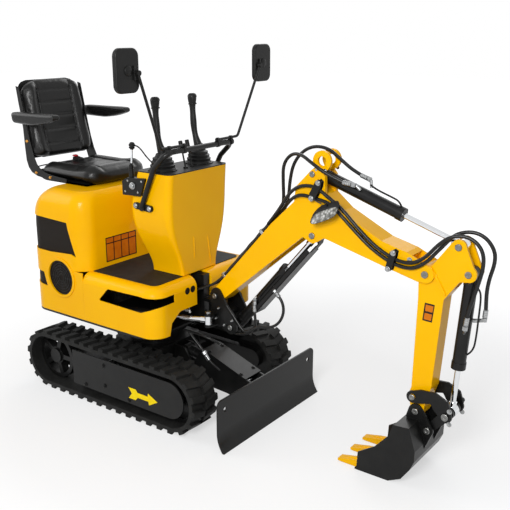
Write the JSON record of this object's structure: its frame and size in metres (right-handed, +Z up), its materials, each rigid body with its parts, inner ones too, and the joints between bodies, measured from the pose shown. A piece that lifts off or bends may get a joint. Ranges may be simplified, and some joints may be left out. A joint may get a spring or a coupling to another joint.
{
  "type": "mini excavator",
  "caption": "Compact tracked mini excavator with open seat, control console, mirrors, dozer blade and a hydraulic boom, stick and bucket.",
  "frame": {"origin": "on the ground under the middle of the parked machine's box", "axes": "+X forward, towards the blade and the digging arm; +Y to the operator's left; +Z up"},
  "size_m": [2.927, 1.276, 2.073],
  "materials": {
    "yellow_paint": "gloss",
    "black_paint": "semi-gloss",
    "belt_rubber": "matte",
    "rod_chrome": "polished",
    "seat_cover": "satin",
    "black_plastic": "matte",
    "mesh_steel": "matte",
    "engine_metal": "cast"
  },
  "bodies": {
    "undercarriage": {"track_frame": "black_paint", "track_guards": "black_paint", "track_left": "belt_rubber", "track_right": "belt_rubber", "sprockets": "black_paint", "idlers": "black_paint", "track_rollers": "black_paint", "drive_motors": "black_paint", "slew_bearing": "black_paint"},
    "blade": {"blade": "black_paint", "blade_cover": "black_paint"},
    "blade_barrel": {"blade_barrel": "black_paint"},
    "blade_rod": {"blade_rod": "rod_chrome"},
    "upper": {"deck_plate": "black_paint", "hood": "yellow_paint", "hood_grilles": "mesh_steel", "engine_block": "engine_metal", "valve_block": "black_paint", "front_cover": "yellow_paint", "floor_mat": "belt_rubber", "console": "yellow_paint", "console_top": "black_plastic", "joysticks": "black_plastic", "small_levers": "black_plastic", "handle_bar": "black_paint", "mirrors": "black_plastic", "control_box": "black_plastic", "seat_base": "black_paint", "seat_shell": "black_plastic", "seat_cushion": "seat_cover", "seat_back": "seat_cover", "armrests": "seat_cover"},
    "swing_barrel": {"swing_barrel": "black_paint"},
    "swing_rod": {"swing_rod": "rod_chrome"},
    "swing_post": {"swing_post": "black_paint"},
    "boom": {"boom": "yellow_paint", "work_lamp": "black_plastic"},
    "boom_barrel": {"boom_barrel": "black_paint"},
    "boom_rod": {"boom_rod": "rod_chrome"},
    "stick_barrel": {"stick_barrel": "black_paint"},
    "stick_rod": {"stick_rod": "rod_chrome"},
    "stick": {"stick": "yellow_paint"},
    "bucket_barrel": {"bucket_barrel": "black_paint"},
    "bucket_rod": {"bucket_rod": "rod_chrome"},
    "guide_links": {"guide_links": "black_paint"},
    "bucket_link": {"bucket_link": "black_paint"},
    "bucket": {"bucket": "black_paint", "bucket_teeth": "yellow_paint"}
  },
  "joints": [
    {"name": "slew", "type": "hinge", "parent": "undercarriage", "child": "upper", "pos_m": [-0.56, 0, 0.44], "axis": [0, 0, 1], "continuous": true},
    {"name": "blade_lift", "type": "hinge", "parent": "undercarriage", "child": "blade", "pos_m": [-0.23, 0, 0.17], "axis": [0, -1, 0], "range_deg": [-15, 20]},
    {"name": "blade_cylinder_pivot", "type": "hinge", "parent": "undercarriage", "child": "blade_barrel", "pos_m": [-0.31, 0, 0.29], "axis": [0, -1, 0], "range_deg": [-12.61, 16.48]},
    {"name": "blade_cylinder_stroke", "type": "slide", "parent": "blade_barrel", "child": "blade_rod", "axis": [0.9751, 0, -0.2216], "range_m": [-0.0387, 0.02977]},
    {"name": "boom_swing", "type": "hinge", "parent": "upper", "child": "swing_post", "pos_m": [-0.09, 0, 0.6], "axis": [0, 0, 1], "range_deg": [-50, 50]},
    {"name": "swing_cylinder_pivot", "type": "hinge", "parent": "upper", "child": "swing_barrel", "pos_m": [-0.57, -0.318, 0.575], "axis": [0, 0, 1], "range_deg": [-1.3, 1.3]},
    {"name": "swing_cylinder_stroke", "type": "slide", "parent": "swing_barrel", "child": "swing_rod", "axis": [0.9413, 0.3375, 0], "range_m": [-0.10874, 0.10874]},
    {"name": "boom_lift", "type": "hinge", "parent": "swing_post", "child": "boom", "pos_m": [-0.029, 0, 0.706], "axis": [0, -1, 0], "range_deg": [-65, 30]},
    {"name": "boom_cylinder_pivot", "type": "hinge", "parent": "swing_post", "child": "boom_barrel", "pos_m": [0.08, 0, 0.54], "axis": [0, -1, 0], "range_deg": [-66.3, 31.14]},
    {"name": "boom_cylinder_stroke", "type": "slide", "parent": "boom_barrel", "child": "boom_rod", "axis": [0.6463, 0, 0.7631], "range_m": [-0.20421, 0.09587]},
    {"name": "stick_crowd", "type": "hinge", "parent": "boom", "child": "stick", "pos_m": [1.221, 0, 1.064], "axis": [0, 1, 0], "range_deg": [-54, 40]},
    {"name": "stick_cylinder_pivot", "type": "hinge", "parent": "boom", "child": "stick_barrel", "pos_m": [0.595, 0, 1.469], "axis": [0, 1, 0], "range_deg": [-5.62, 4.42]},
    {"name": "stick_cylinder_stroke", "type": "slide", "parent": "stick_barrel", "child": "stick_rod", "axis": [0.9505, 0, -0.3107], "range_m": [-0.17953, 0.13376]},
    {"name": "bucket_curl", "type": "hinge", "parent": "stick", "child": "bucket", "pos_m": [1.216, 0, 0.361], "axis": [0, 1, 0], "range_deg": [-70, 60]},
    {"name": "guide_link_pivot", "type": "hinge", "parent": "stick", "child": "guide_links", "pos_m": [1.202, 0, 0.44], "axis": [0, 1, 0], "range_deg": [-46.03, 39.6]},
    {"name": "bucket_link_pivot", "type": "hinge", "parent": "bucket", "child": "bucket_link", "pos_m": [1.283, 0, 0.277], "axis": [0, 1, 0], "range_deg": [-33.9, 39.39]},
    {"name": "bucket_cylinder_pivot", "type": "hinge", "parent": "stick", "child": "bucket_barrel", "pos_m": [1.424, 0, 1.096], "axis": [0, 1, 0], "range_deg": [-2.53, 2.31]},
    {"name": "bucket_cylinder_stroke", "type": "slide", "parent": "bucket_barrel", "child": "bucket_rod", "axis": [-0.0687, 0, -0.9976], "range_m": [-0.13107, 0.11278]}
  ],
  "couplings": [
    {"joint": "blade_cylinder_pivot", "follows": "blade_lift", "ratio": 0.77415},
    {"joint": "blade_cylinder_stroke", "follows": "blade_lift", "m_per_rad": -0.10227},
    {"joint": "swing_cylinder_pivot", "follows": "boom_swing", "ratio": 0.00607},
    {"joint": "swing_cylinder_stroke", "follows": "boom_swing", "m_per_rad": 0.12117},
    {"joint": "boom_cylinder_pivot", "follows": "boom_lift", "ratio": 1.0046},
    {"joint": "boom_cylinder_stroke", "follows": "boom_lift", "m_per_rad": 0.17736},
    {"joint": "stick_cylinder_pivot", "follows": "stick_crowd", "ratio": 0.08552},
    {"joint": "stick_cylinder_stroke", "follows": "stick_crowd", "m_per_rad": 0.1873},
    {"joint": "guide_link_pivot", "follows": "bucket_curl", "ratio": 0.64331},
    {"joint": "bucket_link_pivot", "follows": "bucket_curl", "ratio": -0.54839},
    {"joint": "bucket_cylinder_pivot", "follows": "bucket_curl", "ratio": 0.02185},
    {"joint": "bucket_cylinder_stroke", "follows": "bucket_curl", "m_per_rad": 0.10483}
  ]
}
